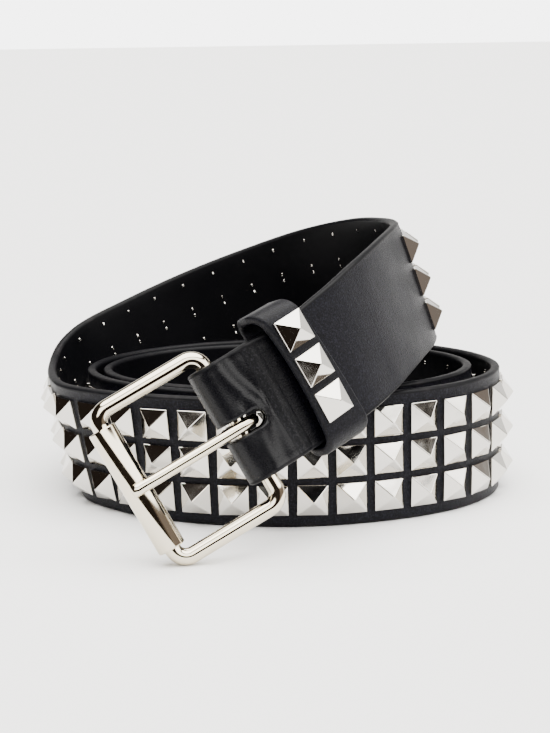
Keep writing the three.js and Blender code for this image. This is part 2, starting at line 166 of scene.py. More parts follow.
# Camera: its place before the coil is centred, how far it looks down, its roll and its lens
CAMERA_PLACE = (-0.0032, -0.5526, 0.1405)
CAMERA_DOWN = 10.58
CAMERA_ROLL = -0.84
CAMERA_LENS = 89.16

# Studio: where the table ends in front, and how bright each part of the room is
TABLE_FRONT = -0.20
OVERHEAD_LIGHT = 9.0
PANEL_LIGHT = 6.0
WALL_LIGHT = 1.6
SIDE_LIGHT = 0.3
DARK_LIGHT = 0.03
SEEN_LIGHT = 5.5


def smooth(value, low, high):
    share = np.clip((value - low) / (high - low), 0, 1)
    return share * share * (3 - 2 * share)


def unit(v):
    return v / np.linalg.norm(v, axis=-1, keepdims=True)


# The strap's route


def read_table(rows, key, column, value):
    if value <= rows[0][key]:
        return rows[0][column]
    for before, after in zip(rows, rows[1:]):
        if value <= after[key]:
            share = smooth(value, before[key], after[key])
            return before[column] + share * (after[column] - before[column])
    return rows[-1][column]


def directions(along, lean):
    """The directions across and out of the strap where it heads along, leaning by so many degrees."""
    up = np.array([0.0, 0.0, 1.0])
    level = unit(up - along * (along @ up)[..., None])
    lean = np.radians(lean)[..., None]
    across = level * np.cos(lean) + np.cross(along, level) * np.sin(lean)
    return across, np.cross(along, across)


def coil_station(bearing):
    inset = ((bearing - 270) / 360 + read_table(COIL_SHAPE, "bearing", "inset", bearing)) * LAYER_PITCH
    direction = math.radians(bearing)
    sideways = abs(math.sin(direction)) / (COIL_LENGTH / 2 - inset)
    forwards = abs(math.cos(direction)) / (COIL_DEPTH / 2 - inset)
    radius = (sideways**OVAL_POWER + forwards**OVAL_POWER) ** (-1 / OVAL_POWER)
    lean = read_table(COIL_SHAPE, "bearing", "lean", bearing)
    tilt = math.radians(abs(lean))
    height = STRAP_WIDTH / 2 * math.cos(tilt) + STRAP_THICKNESS / 2 * math.sin(tilt)
    return (radius * math.sin(direction), -radius * math.cos(direction), height), lean


def buckle_directions():
    yaw, rise = math.radians(BUCKLE_YAW), math.radians(BUCKLE_RISE)
    level = math.cos(rise)
    along = np.array([level * math.cos(yaw), level * math.sin(yaw), math.sin(rise)])
    across, out = directions(along, np.array(BUCKLE_LEAN))
    return along, across, out


def bar_place(along, across):
    corner = FRAME_CORNER_RADIUS
    height = (BAR_TO_ROLLER - corner) * along[2] + (HALF_SPAN - corner) * across[2]
    height += corner * math.hypot(along[2], across[2]) + WIRE_RADIUS
    return np.array([BAR_RIGHT * COIL_LENGTH / 2, BAR_BACK * COIL_DEPTH / 2, height])


def smooth_line(points, per_span, even):
    """A Catmull-Rom line through the points: its places and headings, so many to a span."""
    points = np.array(points, float)
    ends = np.vstack([2 * points[0] - points[1], points, 2 * points[-1] - points[-2]])
    places, headings = [], []
    w = np.linspace(0, 1, per_span, endpoint=False)[:, None]
    for i in range(len(points) - 1):
        p0, p1, p2, p3 = ends[i:i + 4]
        if even:
            t1, t2 = (p2 - p0) / 2, (p3 - p1) / 2
        else:
            d0, d1, d2 = (math.sqrt(np.linalg.norm(b - a)) for a, b in ((p0, p1), (p1, p2), (p2, p3)))
            t1 = ((p1 - p0) / d0 - (p2 - p0) / (d0 + d1) + (p2 - p1) / d1) * d1
            t2 = ((p2 - p1) / d1 - (p3 - p1) / (d1 + d2) + (p3 - p2) / d2) * d1
        c2 = -3 * p1 + 3 * p2 - 2 * t1 - t2
        c3 = 2 * p1 - 2 * p2 + t1 + t2
        places.append(p1 + t1 * w + c2 * w**2 + c3 * w**3)
        headings.append(t1 + 2 * c2 * w + 3 * c3 * w**2)
    places.append(points[-1:])
    headings.append(headings[-1][-1:])
    return np.vstack(places), np.vstack(headings)


class StrapRoute:
    """Where the strap is at any length from the buckle's bar."""

    def __init__(self):
        self.buckle_along, self.buckle_across, self.buckle_out = buckle_directions()
        self.bar = bar_place(self.buckle_along, self.buckle_across)
        start = self.bar + self.buckle_out * BAR_OFFSET + self.buckle_across * FRAME_DROP
        stations = [(start, BUCKLE_LEAN), (start + self.buckle_along * FOLD_LENGTH, BUCKLE_LEAN)]
        for row in RAISED_TURN:
            place = (row["right"] * COIL_LENGTH / 2, row["back"] * COIL_DEPTH / 2, row["up"] * STRAP_WIDTH)
            stations.append((place, row["lean"]))
        stations += [coil_station(b) for b in range(COIL_START, TIP_BEARING, COIL_STATION_STEP)]
        stations.append(coil_station(TIP_BEARING))
        self.places, headings = smooth_line([s[0] for s in stations], 160, even=False)
        leans, _ = smooth_line([[s[1]] for s in stations], 160, even=True)
        self.leans = leans[:, 0]
        self.headings = unit(headings)
        steps = np.linalg.norm(np.diff(self.places, axis=0), axis=1)
        self.lengths = np.concatenate([[0], np.cumsum(steps)])
        self.total = float(self.lengths[-1])
        # The solid parts are moved so that the floor is under the middle of their box
        swing = next(j for j in frame["joints"] if j["name"] == "buckle_swing")
        self.shift = np.array(swing["pos_m"]) - self.bar
        self.places = self.places + self.shift
        self.bar = self.bar + self.shift

    def at(self, length):
        length = np.asarray(length, float)
        held = np.clip(length, 0, self.total)
        place = np.stack([np.interp(held, self.lengths, self.places[:, k]) for k in range(3)], -1)
        along = unit(np.stack([np.interp(held, self.lengths, self.headings[:, k]) for k in range(3)], -1))
        across, out = directions(along, np.interp(held, self.lengths, self.leans))
        return place + along * (length - held)[..., None], along, across, out

    def beside(self, length, across, out):
        place, _, side, face = self.at(length)
        return place + side * np.asarray(across)[..., None] + face * np.asarray(out)[..., None]

    def from_buckle(self, points):
        """Places points drawn in the buckle's own directions: along, across and out."""
        axes = np.array([self.buckle_along, self.buckle_across, self.buckle_out])
        return self.bar + np.asarray(points) @ axes


route = StrapRoute()


# Meshes


def mesh_object(name, verts, faces, materials=(), face_material=None, shade_smooth=True, uv=None):
    mesh = bpy.data.meshes.new(name)
    mesh.from_pydata([tuple(map(float, v)) for v in verts], [], faces)
    if uv is not None:
        layer = mesh.uv_layers.new(name="lay")
        corners = np.array([uv[loop.vertex_index] for loop in mesh.loops], np.float32)
        layer.data.foreach_set("uv", corners.ravel())
    for material in materials:
        mesh.materials.append(material)
    if face_material is not None:
        mesh.polygons.foreach_set("material_index", face_material)
    mesh.polygons.foreach_set("use_smooth", [shade_smooth] * len(mesh.polygons))
    mesh.update()
    made = bpy.data.objects.new(name, mesh)
    bpy.context.scene.collection.objects.link(made)
    return made


def point_outwards(made):
    shape = bmesh.new()
    shape.from_mesh(made.data)
    bmesh.ops.remove_doubles(shape, verts=shape.verts, dist=1e-7)
    bmesh.ops.recalc_face_normals(shape, faces=shape.faces)
    shape.to_mesh(made.data)
    shape.free()
    return made


def loft(rings, closed):
    """Faces between rings of points, and over both ends of an open body."""
    count, size = len(rings), len(rings[0])
    faces = []
    for i in range(count if closed else count - 1):
        j = (i + 1) % count
        for k in range(size):
            m = (k + 1) % size
            faces.append((i * size + k, i * size + m, j * size + m, j * size + k))
    if not closed:
        faces.append(tuple(reversed(range(size))))
        faces.append(tuple(range((count - 1) * size, count * size)))
    return faces


def finished(made):
    """The object with its modifiers worked into a plain mesh."""
    graph = bpy.context.evaluated_depsgraph_get()
    mesh = bpy.data.meshes.new_from_object(made.evaluated_get(graph))
    made.modifiers.clear()
    made.data = mesh
    return made


def discard(*made):
    for thing in made:
        bpy.data.objects.remove(thing, do_unlink=True)


# Shader maths


class Socket:
    """A shader value that can be used in Python expressions."""

    def __init__(self, maker, link):
        self.maker, self.link = maker, link

    def _math(self, operation, a, b):
        return self.maker.node("ShaderNodeMath", {"operation": operation}, {0: a, 1: b})

    def __add__(self, other):
        return self._math("ADD", self, other)

    __radd__ = __add__

    def __sub__(self, other):
        return self._math("SUBTRACT", self, other)

    def __rsub__(self, other):
        return self._math("SUBTRACT", other, self)

    def __mul__(self, other):
        return self._math("MULTIPLY", self, other)

    __rmul__ = __mul__


class Maker:
    """Makes nodes in a tree."""

    def __init__(self, tree):
        self.tree = tree

    def node(self, kind, settings, sockets, output=0):
        made = self.tree.nodes.new(kind)
        for name, value in settings.items():
            setattr(made, name, value)
        for key, value in sockets.items():
            if isinstance(value, Socket):
                self.tree.links.new(value.link, made.inputs[key])
            else:
                made.inputs[key].default_value = value
        return Socket(self, made.outputs[output])

    def band(self, value, low, high):
        """0 below low, 1 above high and smooth between."""
        settings = {"interpolation_type": "SMOOTHSTEP"}
        return self.node("ShaderNodeMapRange", settings, {"Value": value, "From Min": low, "From Max": high})

    def mix(self, share, first, second):
        values = {"Factor": share, "A": first, "B": second}
        made = self.tree.nodes.new("ShaderNodeMix")
        made.data_type = "RGBA"
        for key, value in values.items():
            socket = [s for s in made.inputs if s.name == key and s.enabled][0]
            if isinstance(value, Socket):
                self.tree.links.new(value.link, socket)
            else:
                socket.default_value = value
        return Socket(self, [s for s in made.outputs if s.enabled][0])


class Finish(Maker):
    """A material made from one Principled shader. Settings come first, then the sockets' values or links."""

    def __init__(self, name, **fixed):
        self.material = bpy.data.materials.new(name)
        self.material.use_nodes = True
        super().__init__(self.material.node_tree)
        self.shader = self.tree.nodes["Principled BSDF"]
        for socket, value in fixed.items():
            self.shader.inputs[socket.replace("_", " ")].default_value = value
        self.place = self.node("ShaderNodeTexCoord", {}, {}, "Object")
        self.lay = self.node("ShaderNodeTexCoord", {}, {}, "UV")

    def noise(self, scale, detail=2.0, roughness=0.5, at=None, stretch=None):
        spot = at or self.place
        if stretch:
            spot = self.node("ShaderNodeMapping", {}, {"Vector": spot, "Scale": stretch})
        values = {"Vector": spot, "Scale": scale, "Detail": detail, "Roughness": roughness}
        return self.node("ShaderNodeTexNoise", {}, values, "Fac")

    def cells(self, scale):
        return self.node("ShaderNodeTexVoronoi", {}, {"Vector": self.place, "Scale": scale}, "Distance")

    def bump(self, height, distance, strength=1.0, under=None):
        values = {"Height": height, "Distance": distance, "Strength": strength}
        if under is not None:
            values["Normal"] = under
        return self.node("ShaderNodeBump", {}, values, "Normal")

    def paint(self, **links):
        for socket, value in links.items():
            self.tree.links.new(value.link, self.shader.inputs[socket.replace("_", " ")])
        return self.material


def leather_finish(name, colour, worn, shine, grain, specular, coat=0.0):
    """Black leather: fine pebbled grain, soft creases across the strap and slightly uneven gloss."""
    it = Finish(name, Specular_IOR_Level=specular, Coat_Roughness=0.25, Coat_Weight=coat)
    pebbles = it.cells(2600)
    fine = it.noise(5200, 2, 0.6)
    speckle = it.noise(2300, 3, 0.7)
    patches = it.noise(90, 3, 0.55)
    creases = it.noise(1.0, 3, 0.6, at=it.lay, stretch=(900, 60, 1))
    tone = it.band(speckle, 0.46, 0.68)
    base = it.mix(tone, (*colour, 1), (*worn, 1))
    rough = shine + (patches - 0.5) * 0.16 + (fine - 0.5) * 0.12
    pebble_bump = it.bump(pebbles, 0.00008 * grain, 0.7)
    fine_bump = it.bump(fine, 0.00006 * grain, 0.6, pebble_bump)
    crease_bump = it.bump(creases, 0.00012 * grain, 0.35, fine_bump)
    return it.paint(Base_Color=base, Roughness=rough, Normal=crease_bump)


def edge_paint_finish():
    """Painted strap edge: dark grey, a little lumpy and rubbed lighter."""
    it = Finish("edge paint", Specular_IOR_Level=0.10)
    lumps = it.noise(700, 3, 0.6)
    rubbed = it.band(it.noise(140, 4, 0.6), 0.5, 0.72)
    base = it.mix(rubbed, (0.003, 0.003, 0.004, 1), (0.010, 0.009, 0.010, 1))
    rough = 0.36 + lumps * 0.18
    return it.paint(Base_Color=base, Roughness=rough, Normal=it.bump(lumps, 0.00012, 0.6))


def lining_finish():
    """The smooth, nearly black inner face."""
    it = Finish("smooth lining", Specular_IOR_Level=0.08)
    fine = it.noise(2400, 3, 0.6)
    patches = it.noise(60, 3, 0.5)
    base = it.mix(patches, (0.0008, 0.0008, 0.0012, 1), (0.0020, 0.0020, 0.0028, 1))
    rough = 0.30 + patches * 0.14
    return it.paint(Base_Color=base, Roughness=rough, Normal=it.bump(fine, 0.00005, 0.6))


def fold_leather_finish():
    """The fold at the buckle: glossier, with grainy highlights and a strip of rough wrinkles on its roll, whose
    crests carry a painted highlight in the base colour.
    """
    it = Finish("fold leather", Specular_IOR_Level=0.17, Coat_Roughness=0.16, Coat_Weight=0.07)
    along = it.node("ShaderNodeSeparateXYZ", {}, {0: it.lay}, 0)
    strip = it.band(along, 0.0094, 0.0106) * (1 - it.band(along, 0.0132, 0.0146))
    wrinkles_and_highlight = it.noise(1.0, 4, 0.7, at=it.lay, stretch=(2200, 1500, 1))
    grain = it.cells(3000)
    fine = it.noise(4200, 3, 0.65)
    patches = it.noise(120, 3, 0.5)
    # Painted highlight: the wrinkle crests in the strip are coloured much lighter, standing in for the light they
    # catch.
    base = it.mix(strip * it.band(wrinkles_and_highlight, 0.5, 0.7), (0.0010, 0.0010, 0.0020, 1), (0.034, 0.034, 0.040, 1))
    rough = 0.27 + (patches - 0.5) * 0.10 + (fine - 0.5) * 0.20 + strip * 0.10
    wrinkle_bump = it.bump(wrinkles_and_highlight * strip, 0.0009, 1.0)
    grain_bump = it.bump(grain, 0.00007, 0.6, wrinkle_bump)
    return it.paint(Base_Color=base, Roughness=rough, Normal=it.bump(fine, 0.00006, 0.7, grain_bump))


def nickel_finish(name, colour, shine, dents):
    """Polished nickel plate: bright, a little warm, with faint smudges, hairlines and uneven pressing."""
    it = Finish(name, Metallic=1.0)
    smudges = it.noise(160, 4, 0.6)
    hairlines = it.noise(1.0, 2, 0.5, stretch=(3000, 3000, 260))
    pressing = it.noise(230, 1, 0.4)
    base = it.mix(smudges, (*colour, 1), tuple(c * 0.93 for c in colour) + (1,))
    rough = shine + it.band(smudges, 0.4, 0.8) * 0.08
    hair_bump = it.bump(hairlines, 0.00001, 0.4)
    return it.paint(Base_Color=base, Roughness=rough, Normal=it.bump(pressing, dents, 0.6, hair_bump))


strap_leather = leather_finish("strap leather", (0.0008, 0.0008, 0.0020), (0.0130, 0.0130, 0.0200), 0.44, 1.8, 0.11)
keeper_leather = leather_finish("keeper leather", (0.0010, 0.0010, 0.0022), (0.0110, 0.0110, 0.0160), 0.40, 1.4, 0.14)
edge_paint = edge_paint_finish()
lining = lining_finish()
fold_leather = fold_leather_finish()
buckle_nickel = nickel_finish("buckle nickel", (0.72, 0.65, 0.51), 0.05, 0.00002)
stud_nickel = nickel_finish("stud nickel", (0.66, 0.635, 0.59), 0.07, 0.00005)


# Strap


def strap_section(half, thick):
    """The strap's cross-section: its places across and out, and what each stretch is."""
    r = EDGE_ROUND
    places, kinds = [], []

    def add(across, out, kind):
        places.append((across, out))
        kinds.append(kind)

    for share in np.linspace(-1, 1, 21):
        across = share * (half - r)
        near_edge = smooth(abs(across), half - 2.6 * r, half - r)
        add(across, thick - EDGE_CREASE * near_edge, "face")
    for angle in np.linspace(72, 0, 5):
        a = math.radians(angle)
        add(half - r + r * math.cos(a), thick - r + r * math.sin(a), "edge")
    for angle in np.linspace(0, -72, 5):
        a = math.radians(angle)
        add(half - r + r * math.cos(a), -thick + r + r * math.sin(a), "edge")
    for share in np.linspace(1, -1, 13):
        add(share * (half - r), -thick, "inside")
    for angle in np.linspace(-108, -180, 5):
        a = math.radians(angle)
        add(-half + r + r * math.cos(a), -thick + r + r * math.sin(a), "edge")
    for angle in np.linspace(180, 108, 5):
        a = math.radians(angle)
        add(-half + r + r * math.cos(a), thick - r + r * math.sin(a), "edge")
    return np.array(places), kinds


def tip_share(length):
    past = np.clip((length - (route.total - TIP_LENGTH)) / TIP_LENGTH, 0, 1)
    return math.sqrt(1 - (1 - TIP_BLUNTNESS**2) * past * past)


def fold_share(length):
    """How wide the strap is: narrow in the fold, widening past the keeper."""
    return FOLD_WIDTH / STRAP_WIDTH + (1 - FOLD_WIDTH / STRAP_WIDTH) * smooth(length, FOLD_LENGTH, FOLD_WIDENED)


def fold_bulge(along):
    radius = WIRE_RADIUS + FOLD_CLEARANCE + STRAP_THICKNESS / 2
    return BAR_OFFSET + (radius - BAR_OFFSET) * (1 - smooth(along, 0, FOLD_LENGTH))


def fold_line():
    """The fold in the plane of its bend, as distances along from the bar and out from the main layer."""
    middle = -BAR_OFFSET
    radius = WIRE_RADIUS + FOLD_CLEARANCE + STRAP_THICKNESS / 2
    back = np.linspace(FOLD_END, FOLD_LENGTH, FOLD_BACK_RINGS, endpoint=False)
    line = [(along, middle - BAR_OFFSET) for along in back]
    line += [(along, middle - fold_bulge(along)) for along in np.linspace(FOLD_LENGTH, 0, 14, endpoint=False)]
    for angle in np.linspace(0, math.pi, 28):
        line.append((-radius * math.sin(angle), middle - radius * math.cos(angle)))
    line += [(along, middle + fold_bulge(along)) for along in np.linspace(0, FOLD_LENGTH, 52)[1:-1]]
    return line


def fold_relief(along, across):
    """How the front of the fold swells: a ridge that bends round the slot, a valley, then a crease and a roll."""
    ridge_at = 0.0024 + 0.0034 * np.exp(-((across - 0.001) / 0.0075) ** 2)
    ridge = 0.00062 * np.exp(-((along - ridge_at) / 0.0016) ** 2)
    valley = -0.00050 * np.exp(-((along - ridge_at - 0.0036) / 0.0016) ** 2)
    crease_length = np.exp(-((across - 0.0015) / 0.005) ** 2)
    crease = 0.00030 * np.exp(-((along - 0.0089 - 0.05 * across) / 0.00045) ** 2) * crease_length
    roll = 0.00040 * np.exp(-((along - 0.0118) / 0.0013) ** 2)
    slot_end = np.hypot(along - SLOT_REACH + SLOT_WIDTH / 2, across)
    lip = 0.00035 * np.exp(-((slot_end - SLOT_WIDTH / 2 - 0.0007) / 0.0008) ** 2) * (along > 0)
    return ridge + valley + crease + roll + lip


def strap_rings():
    _, kinds = strap_section(1.0, 1.0)
    rings, lay = [], []

    def ring(point, across, out, half, length, relief=None):
        places, _ = strap_section(half, STRAP_THICKNESS / 2)
        raised = np.zeros(len(places))
        if relief is not None:
            raised = relief(np.full(len(places), length), places[:, 0]) * (places[:, 1] > 0)
        rings.append(point + places[:, :1] * across + (places[:, 1:] + raised[:, None]) * out)
        lay.append(np.stack([np.full(len(places), length), places[:, 0]], 1))

    line = fold_line()
    for i, (along, out) in enumerate(line):
        before, after = line[max(i - 1, 0)], line[min(i + 1, len(line) - 1)]
        _, _, across, _ = route.at(along)
        heading = unit(route.beside(after[0], 0.0, after[1]) - route.beside(before[0], 0.0, before[1]))
        face = unit(np.cross(heading, across))
        half = STRAP_WIDTH / 2 * fold_share(along)
        if i < FOLD_BACK_RINGS:
            half -= FOLD_END_TAPER * smooth(along, FOLD_LENGTH, FOLD_END)
        front = i > len(line) - FOLD_FRONT_RINGS
        ring(route.beside(along, 0.0, out), across, face, half, along, fold_relief if front else None)
    lengths = np.concatenate([
        np.arange(FOLD_LENGTH, KEEPER_FROM + KEEPER_WIDTH, 0.0008),
        np.arange(KEEPER_FROM + KEEPER_WIDTH, route.total - TIP_LENGTH, 0.0014),
        route.total - TIP_LENGTH + TIP_LENGTH * np.sin(np.linspace(0, math.pi / 2, 22)),
    ])
    for length in lengths:
        place, _, across, out = route.at(length)
        relief = fold_relief if length < KEEPER_FROM + KEEPER_WIDTH else None
        ring(place, across, out, STRAP_WIDTH / 2 * fold_share(length) * tip_share(length), length, relief)
    return rings, lay, kinds


def slot_cutter():
    half = SLOT_WIDTH / 2
    back = -(WIRE_RADIUS + FOLD_CLEARANCE + 2 * STRAP_THICKNESS)
    deep = 2 * (2 * WIRE_RADIUS + STRAP_THICKNESS)
    outline = [(back, -half), (SLOT_REACH - half, -half)]
    for angle in np.linspace(-math.pi / 2, math.pi / 2, 17)[1:-1]:
        outline.append((SLOT_REACH - half + half * math.cos(angle), half * math.sin(angle)))
    outline += [(SLOT_REACH - half, half), (back, half)]
    rings = [route.from_buckle([(x, y, z) for x, y in outline]) for z in (-deep, deep)]
    return point_outwards(mesh_object("slot cutter", np.vstack(rings), loft(rings, False), (edge_paint,)))


def tip_hole_cutter(number):
    place, along, across, out = route.at(route.total - TIP_HOLE_FROM_END - number * TIP_HOLE_SPACING)
    radius = TIP_HOLE_DIAMETER / 2
    rings = []
    for z in (-STRAP_THICKNESS, STRAP_THICKNESS):
        turn = np.linspace(0, 2 * math.pi, 28, endpoint=False)[:, None]
        rings.append(place + out * z + along * radius * np.cos(turn) + across * radius * np.sin(turn))
    return point_outwards(mesh_object("hole cutter", np.vstack(rings), loft(rings, False), (edge_paint,)))


def strap_piece():
    rings, lay, kinds = strap_rings()
    faces = loft(rings, False)
    size = len(kinds)
    slots = {"face": 0, "edge": 1, "inside": 2}
    lengths = [l[0, 0] for l in lay]
    fold_rings = len(fold_line())
    index = []
    for i in range(len(rings) - 1):
        folded = i < fold_rings or lengths[i] < KEEPER_FROM + KEEPER_WIDTH / 2
        for k in range(size):
            same = kinds[k] == kinds[(k + 1) % size]
            kind = kinds[k] if same else "edge"
            index.append(3 if kind == "face" and folded else slots[kind])
    index += [1, 1]
    materials = (strap_leather, edge_paint, lining, fold_leather)
    strap = mesh_object("strap", np.vstack(rings), faces, materials, index, uv=np.vstack(lay))
    point_outwards(strap)
    cutters = [slot_cutter()] + [tip_hole_cutter(n) for n in range(TIP_HOLE_COUNT)]
    for cutter in cutters:
        cut = strap.modifiers.new("cut", "BOOLEAN")
        cut.operation, cut.solver, cut.object = "DIFFERENCE", "EXACT", cutter
        cut.material_mode = "TRANSFER"
    finished(strap)
    discard(*cutters)
    return strap


# Studs and their clinched ends, copied onto their seats


def seat_copies_tree():
    """Copies a piece onto seats, each turned to its seat and set a little unevenly by hand."""
    tree = bpy.data.node_groups.new("seat copies", "GeometryNodeTree")
    face = tree.interface
    face.new_socket("Geometry", in_out="OUTPUT", socket_type="NodeSocketGeometry")
    face.new_socket("Geometry", in_out="INPUT", socket_type="NodeSocketGeometry")
    kinds = {
        "Piece": "NodeSocketObject", "Tilt": "NodeSocketFloat", "Turn": "NodeSocketFloat",
        "Seed": "NodeSocketInt", "Finish": "NodeSocketMaterial",
    }
    for name, kind in kinds.items():
        face.new_socket(name, in_out="INPUT", socket_type=kind)
    nodes, link = tree.nodes, tree.links.new
    given, result = nodes.new("NodeGroupInput"), nodes.new("NodeGroupOutput")

    def seat_vector(name):
        made = nodes.new("GeometryNodeInputNamedAttribute")
        made.data_type = "FLOAT_VECTOR"
        made.inputs["Name"].default_value = name
        return made.outputs["Attribute"]

    def spread(source, axis_seed):
        below = nodes.new("ShaderNodeMath")
        below.operation = "MULTIPLY"
        below.inputs[1].default_value = -1
        link(source, below.inputs[0])
        seed = nodes.new("ShaderNodeMath")
        seed.inputs[1].default_value = axis_seed
        link(given.outputs["Seed"], seed.inputs[0])
        made = nodes.new("FunctionNodeRandomValue")
        made.data_type = "FLOAT"
        numbers = [s for s in made.inputs if s.type == "VALUE" and s.enabled]
        link(below.outputs[0], numbers[0])
        link(source, numbers[1])
        link(seed.outputs[0], [s for s in made.inputs if s.name == "Seed"][0])
        return [s for s in made.outputs if s.type == "VALUE" and s.enabled][0]

    facing = nodes.new("FunctionNodeAxesToRotation")
    facing.primary_axis, facing.secondary_axis = "Z", "X"
    link(seat_vector("out"), facing.inputs["Primary Axis"])
    link(seat_vector("along"), facing.inputs["Secondary Axis"])
    uneven = nodes.new("ShaderNodeCombineXYZ")
    for axis, source in enumerate(("Tilt", "Tilt", "Turn")):
        link(spread(given.outputs[source], 11 * axis), uneven.inputs[axis])
    turned = nodes.new("FunctionNodeRotateRotation")
    turned.rotation_space = "LOCAL"
    euler = nodes.new("FunctionNodeEulerToRotation")
    link(uneven.outputs[0], euler.inputs[0])
    link(facing.outputs[0], turned.inputs[0])
    link(euler.outputs[0], turned.inputs[1])
    piece = nodes.new("GeometryNodeObjectInfo")
    link(given.outputs["Piece"], piece.inputs["Object"])
    copies = nodes.new("GeometryNodeInstanceOnPoints")
    link(given.outputs["Geometry"], copies.inputs["Points"])
    link(piece.outputs["Geometry"], copies.inputs["Instance"])
    link(turned.outputs[0], copies.inputs["Rotation"])
    real = nodes.new("GeometryNodeRealizeInstances")
    link(copies.outputs[0], real.inputs[0])
    finish = nodes.new("GeometryNodeSetMaterial")
    link(real.outputs[0], finish.inputs["Geometry"])
    link(given.outputs["Finish"], finish.inputs["Material"])
    link(finish.outputs[0], result.inputs[0])
    return tree


copies_tree = seat_copies_tree()


def seat_copies(name, seats, piece, finish, tilt, turn, seed):
    """One mesh of copies of a piece. Each seat is a place with its directions along and out."""
    seats_mesh = bpy.data.meshes.new(name)
    seats_mesh.from_pydata([tuple(map(float, seat[0])) for seat in seats], [], [])
    for column, label in ((1, "along"), (2, "out")):
        layer = seats_mesh.attributes.new(label, "FLOAT_VECTOR", "POINT")
        layer.data.foreach_set("vector", np.array([seat[column] for seat in seats], np.float32).ravel())
    made = bpy.data.objects.new(name, seats_mesh)
    bpy.context.scene.collection.objects.link(made)
    changes = made.modifiers.new("copies", "NODES")
    changes.node_group = copies_tree
    values = {"Piece": piece, "Tilt": tilt, "Turn": turn, "Seed": seed, "Finish": finish}
    for item in copies_tree.interface.items_tree:
        if item.in_out == "INPUT" and item.name in values:
            changes[item.identifier] = values[item.name]
    return finished(made)


def bevelled(name, verts, faces, width, segments):
    made = mesh_object(name, verts, faces, shade_smooth=False)
    shape = bmesh.new()
    shape.from_mesh(made.data)
    bmesh.ops.recalc_face_normals(shape, faces=shape.faces)
    bmesh.ops.bevel(shape, geom=shape.edges[:], offset=width, segments=segments, profile=0.6, affect="EDGES")
    shape.to_mesh(made.data)
    shape.free()
    return made


def stud_shape():
    """A pressed pyramid on a low rim, its ridges slightly rounded and its foot sunk in the leather."""
    half, blunt = STUD_SIZE / 2, 0.00018
    levels = [(half * 0.985, -STUD_SUNK), (half, STUD_RIM), (blunt, STUD_HEIGHT)]
    verts = [(x * w, y * w, z) for w, z in levels for x, y in ((-1, -1), (1, -1), (1, 1), (-1, 1))]
    faces = [(3, 2, 1, 0), (8, 9, 10, 11)]
    for low in (0, 4):
        faces += [(low + k, low + (k + 1) % 4, low + 4 + (k + 1) % 4, low + 4 + k) for k in range(4)]
    return bevelled("stud shape", verts, faces, STUD_EDGE, 2)


def clinch_shape():
    """The bent end of a stud's prong, pressed flat on the inner face."""
    long, wide, high = 0.00050, 0.00028, 0.00026
    verts = [(x * long * s, y * wide * s, z) for s, z in ((1, -0.0002), (1, high * 0.4), (0.6, high))
             for x, y in ((-1, -1), (1, -1), (1, 1), (-1, 1))]
    faces = [(3, 2, 1, 0), (8, 9, 10, 11)]
    for low in (0, 4):
        faces += [(low + k, low + (k + 1) % 4, low + 4 + (k + 1) % 4, low + 4 + k) for k in range(4)]
    return bevelled("clinch shape", verts, faces, 0.00008, 2)


def row_middles():
    return [(row - (STUD_ROWS - 1) / 2) * ROW_SPACING for row in range(STUD_ROWS)]


def stud_columns():
    return np.arange(STUDS_START_AT, route.total - PLAIN_TIP_END, COLUMN_SPACING)


def stud_seats():
    seats = []
    for length in stud_columns():
        place, along, across, out = route.at(length)
        for middle in row_middles():
            seats.append((place + across * middle + out * STRAP_THICKNESS / 2, along, out))
    return seats


def clinch_seats():
    seats = []
    for length in stud_columns():
        place, _, across, out = route.at(length)
        for middle in row_middles():
            for side in (-1, 1):
                spot = place + across * (middle + side * CLINCH_FROM_MIDDLE) - out * STRAP_THICKNESS / 2
                seats.append((spot, across, -out))
    return seats


def keeper_length(share, across, out):
    """How far along the strap a place in the keeper is: its front slants away from the buckle, its foot too."""
    middle = KEEPER_FROM + KEEPER_WIDTH / 2 + KEEPER_SLANT * max(out, 0) - KEEPER_SKEW * across
    return middle + share * KEEPER_WIDTH / 2


def keeper_stud_seats():
    seats = []
    for row in row_middles():
        side = row + KEEPER_STUD_SHIFT
        bow, lean = keeper_bow(side)
        height = STRAP_THICKNESS / 2 + KEEPER_ROOM + KEEPER_THICKNESS + bow
        place, along, across, out = route.at(keeper_length(0, side, height) + KEEPER_STUD_ALONG)
        facing = unit(out - across * lean)
        seats.append((place + across * side + out * height, along + across * KEEPER_SKEW, facing))
    return seats


# Keeper


def keeper_sides():
    foot = -(STRAP_WIDTH / 2 * fold_share(KEEPER_FROM + KEEPER_WIDTH) + KEEPER_CLEARANCE)
    return foot, STRAP_WIDTH / 2 + KEEPER_TOP_ROOM


def keeper_bow(across):
    """How far the front of the keeper bows outwards there, and its slope."""
    foot, top = keeper_sides()
    middle, half = (foot + top) / 2, (top - foot) / 2
    share = (across - middle) / half
    return KEEPER_BOW * max(0.0, 1 - share**2), -2 * KEEPER_BOW * share / half


def keeper_line():
    """The keeper's loop round the strap: places across and out on its inner side, and the ways off it."""
    foot, top = keeper_sides()
    front = STRAP_THICKNESS / 2 + KEEPER_ROOM
    back = STRAP_THICKNESS * 1.5 + LAYER_GAP + KEEPER_CLEARANCE
    round_front, round_back = 0.0030, 0.0022
    line = []

    def bend(across, out, radius, start):
        middle = (across - math.copysign(radius, across), out - math.copysign(radius, out))
        for angle in np.linspace(start, start - 90, 14):
            a = math.radians(angle)
            side, face = math.cos(a), math.sin(a)
            line.append((middle[0] + radius * side, middle[1] + radius * face, side, face))

    bend(top, front, round_front, 90)
    bend(top, -back, round_back, 0)
    line += [(v, -back, 0, -1) for v in np.linspace(top - round_back, foot + round_back, 16)[1:-1]]
    bend(foot, -back, round_back, -90)
    bend(foot, front, round_front, -180)
    line += [(v, front, 0, 1) for v in np.linspace(foot + round_front, top - round_front, 30)[1:-1]]
    return [(v, out + (keeper_bow(v)[0] if out > 0 else 0), side, face) for v, out, side, face in line]


